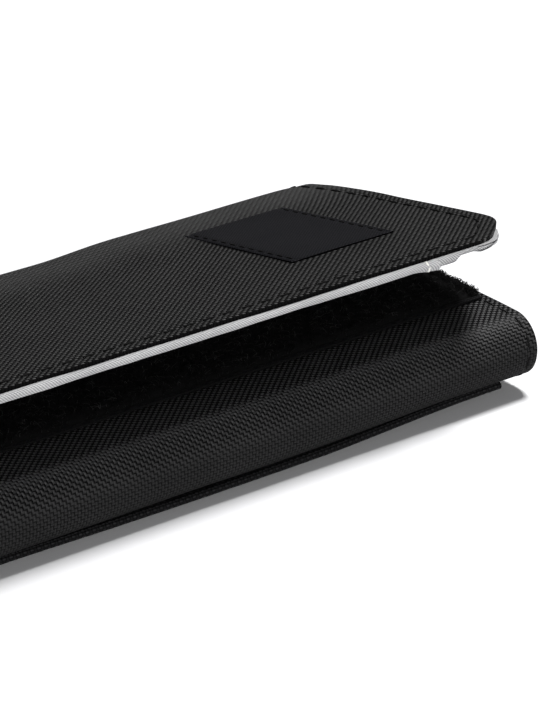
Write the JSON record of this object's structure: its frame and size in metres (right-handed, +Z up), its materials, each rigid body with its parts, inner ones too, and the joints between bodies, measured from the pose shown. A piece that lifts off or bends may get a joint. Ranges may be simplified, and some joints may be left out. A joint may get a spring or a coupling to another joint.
{
  "type": "trifold travel wallet",
  "caption": "Fabric trifold travel wallet with a hook-and-loop flap, inner panel with card window, card slots, note compartment and a zipped coin pocket on the back.",
  "frame": {"origin": "middle of the wallet in plan, on the table under the coin pocket", "axes": "+X along the long side towards the open end of the note compartment, +Y from the front fold to the rear fold, +Z up off the table"},
  "size_m": [0.152, 0.0758, 0.0358],
  "materials": {
    "cover_fabric": "matt black plain weave",
    "lining_twill": "light grey twill",
    "stiffener": "plain sheet",
    "shield_fabric": "metallised grey fabric",
    "loop_pile": "fuzzy black loop pile",
    "hook_nylon": "black nylon hooks",
    "label_weave": "fine black weave",
    "zip_tape": "black herringbone tape",
    "zip_nylon": "black nylon coil",
    "zip_metal": "black enamelled",
    "window_vinyl": "clear film"
  },
  "bodies": {
    "back_panel": {"back_cover": "cover_fabric", "back_board": "stiffener", "back_shield": "shield_fabric", "back_lining": "lining_twill", "card_slot_1": "lining_twill", "card_slot_2": "lining_twill", "front_fold": "cover_fabric", "front_fold_lining": "lining_twill", "rear_fold": "cover_fabric", "rear_fold_lining": "lining_twill", "coin_pocket_panel": "cover_fabric", "coin_pocket_facing": "cover_fabric", "zip_tape_front": "zip_tape", "zip_tape_rear": "zip_tape", "zip_coil_front": "zip_nylon", "zip_coil_rear": "zip_nylon", "zip_stop_open_end": "zip_metal", "zip_stop_closed_end": "zip_metal"},
    "inner_panel": {"inner_cover": "cover_fabric", "inner_board": "stiffener", "inner_shield": "shield_fabric", "inner_lining": "lining_twill", "inner_edge_tape": "lining_twill", "loop_strip": "loop_pile", "id_window": "window_vinyl", "id_frame": "lining_twill"},
    "flap": {"flap_cover": "cover_fabric", "flap_board": "stiffener", "flap_shield": "shield_fabric", "flap_lining": "lining_twill", "flap_lip": "lining_twill", "flap_corner_fold_right": "lining_twill", "flap_corner_fold_left": "lining_twill", "label": "label_weave", "hook_strip": "hook_nylon", "flap_slip_pocket": "lining_twill"},
    "slider": {"zip_slider": "zip_metal"},
    "pull": {"zip_pull": "zip_metal"}
  },
  "joints": [
    {"name": "flap_fold", "type": "hinge", "parent": "back_panel", "child": "flap", "pos_m": [0, 0.0274, 0.0132], "axis": [-1, 0, 0], "range_deg": [-12, 169], "deforming": ["rear_fold", "rear_fold_lining"]},
    {"name": "inner_fold", "type": "hinge", "parent": "back_panel", "child": "inner_panel", "pos_m": [0, -0.0314, 0.0092], "axis": [1, 0, 0], "range_deg": [-3.65, 50.8], "deforming": ["front_fold", "front_fold_lining"]},
    {"name": "zip_slide", "type": "slide", "parent": "back_panel", "child": "slider", "axis": [-1, 0, 0], "range_m": [0, 0.1095]},
    {"name": "pull_swing", "type": "hinge", "parent": "slider", "child": "pull", "pos_m": [0.0507, 0.018, 0.00068], "axis": [0, -1, 0], "range_deg": [0, 120]}
  ],
  "couplings": [
    {"joint": "inner_fold", "follows": "flap_fold", "ratio": 0.3}
  ]
}
